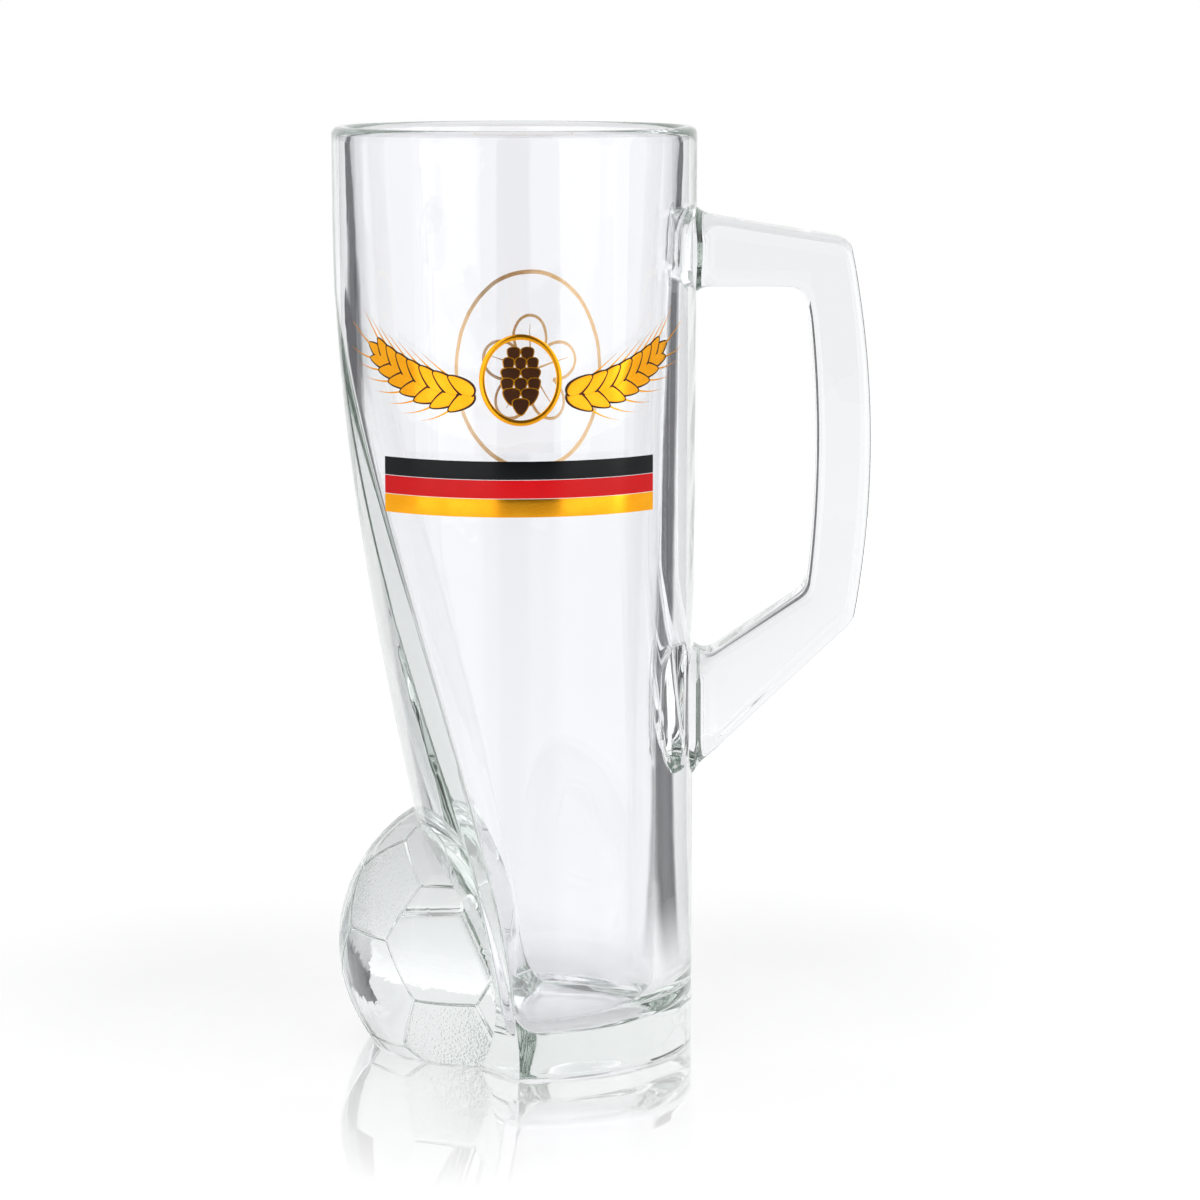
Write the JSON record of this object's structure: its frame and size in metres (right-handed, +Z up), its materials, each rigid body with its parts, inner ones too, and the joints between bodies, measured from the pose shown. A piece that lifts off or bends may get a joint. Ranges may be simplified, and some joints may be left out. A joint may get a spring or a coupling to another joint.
{
  "type": "beer mug",
  "caption": "Tall clear pressed-glass beer mug with a scooped wall, a solid glass football at its foot, an angular strap handle and a fired-on gold print.",
  "frame": {"origin": "on the table plane, on the upright axis of the round wall", "axes": "+Z up along the round wall's axis, +X towards the handle, -X towards the glass football, -Y towards the printed front"},
  "size_m": [0.1184, 0.0808, 0.204],
  "materials": {
    "clear_glass": "clear pressed soda-lime glass, fire polished",
    "gold_lustre": "bright fired-on gold",
    "pale_gold_lustre": "thin fired-on gold",
    "brown_enamel": "glossy fired-on enamel",
    "black_enamel": "glossy fired-on enamel",
    "red_enamel": "glossy fired-on enamel"
  },
  "bodies": {
    "root": {"glass_body": "clear_glass", "football_foot": "clear_glass", "handle": "clear_glass", "front_barley_left": "gold_lustre", "front_barley_right": "gold_lustre", "front_ring": "gold_lustre", "front_hop_cone": "brown_enamel", "stripe_black": "black_enamel", "stripe_red": "red_enamel", "stripe_gold": "gold_lustre", "back_oval_frame": "pale_gold_lustre", "back_hop_leaf": "pale_gold_lustre"}
  },
  "joints": []
}
